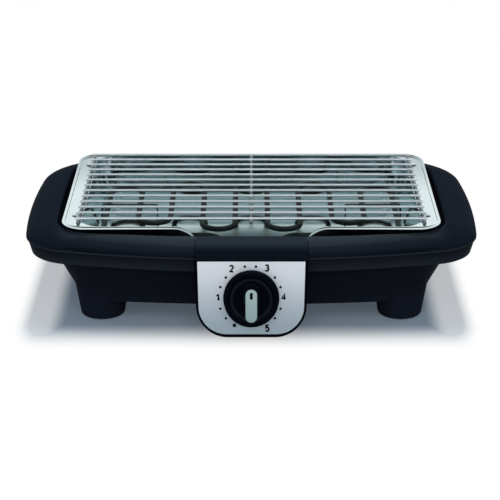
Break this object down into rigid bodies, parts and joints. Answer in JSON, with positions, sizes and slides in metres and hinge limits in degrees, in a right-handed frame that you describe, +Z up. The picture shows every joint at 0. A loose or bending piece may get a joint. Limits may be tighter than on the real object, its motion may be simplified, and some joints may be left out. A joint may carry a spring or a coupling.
{
  "type": "electric table grill",
  "caption": "Open electric table grill: moulded base on conical feet, steel reflector tray, serpentine element, wire grid and a front control box with a dial knob.",
  "frame": {"origin": "middle of the whole grill in X and Y, control box included, on the surface that the foot pads stand on", "axes": "+X to the right as seen from the control box, +Y to the back, +Z up"},
  "size_m": [0.5398, 0.4047, 0.1273],
  "materials": {
    "base_plastic": "fine matte black",
    "foot_rubber": "matte",
    "screw_steel": "plated",
    "tray_steel": "polished",
    "grid_steel": "bright plated wire",
    "element_sheath": "dark oxidised sheath",
    "bracket_steel": "satin",
    "box_plastic": "satin black",
    "fascia_silver": "satin",
    "knob_plastic": "satin black",
    "insert_silver": "satin",
    "thermostat_case": "moulded",
    "shaft_steel": "turned",
    "seal_ceramic": "matte ceramic",
    "pin_brass": "plain",
    "terminal_plastic": "moulded",
    "lead_sleeve": "woven sleeve",
    "gland_rubber": "matte"
  },
  "bodies": {
    "base": {"base_tub": "base_plastic", "foot_pad_back_left": "foot_rubber", "foot_pad_back_right": "foot_rubber", "foot_pad_front_left": "foot_rubber", "foot_pad_front_right": "foot_rubber", "rim_frame": "base_plastic", "rim_screws": "screw_steel"},
    "tray": {"reflector_tray": "tray_steel"},
    "heater": {"box_back": "box_plastic", "box_cover": "box_plastic", "box_screws": "screw_steel", "clamp_screws": "screw_steel", "cord_gland": "gland_rubber", "element_clamp": "bracket_steel", "element_pins": "pin_brass", "element_seals": "seal_ceramic", "element_support_left": "bracket_steel", "element_support_right": "bracket_steel", "fascia_plate": "fascia_silver", "heating_element": "element_sheath", "inner_leads": "lead_sleeve", "terminal_block": "terminal_plastic", "thermostat_body": "thermostat_case", "thermostat_bracket": "bracket_steel", "thermostat_screws": "screw_steel"},
    "knob": {"knob": "knob_plastic", "knob_insert": "insert_silver", "thermostat_shaft": "shaft_steel"},
    "grid": {"grid_bar_centre": "grid_steel", "grid_bar_left": "grid_steel", "grid_bar_right": "grid_steel", "grid_pegs": "grid_steel", "grid_wire_01": "grid_steel", "grid_wire_02": "grid_steel", "grid_wire_03": "grid_steel", "grid_wire_04": "grid_steel", "grid_wire_05": "grid_steel", "grid_wire_06": "grid_steel", "grid_wire_07": "grid_steel", "grid_wire_08": "grid_steel", "grid_wire_09": "grid_steel", "grid_wire_10": "grid_steel", "grid_wire_11": "grid_steel", "grid_wire_12": "grid_steel", "grid_wire_13": "grid_steel"}
  },
  "joints": [
    {"name": "tray_lift", "type": "slide", "parent": "base", "child": "tray", "axis": [0, 0, 1], "range_m": [0, 0.15]},
    {"name": "heater_lift", "type": "slide", "parent": "tray", "child": "heater", "axis": [0, 0, 1], "range_m": [0, 0.15]},
    {"name": "grid_lift", "type": "slide", "parent": "heater", "child": "grid", "axis": [0, 0, 1], "range_m": [0, 0.12]},
    {"name": "knob_turn", "type": "hinge", "parent": "heater", "child": "knob", "pos_m": [0, -0.17541, 0.05905], "axis": [0, -0.9703, 0.2419], "range_deg": [-150, 150]}
  ]
}
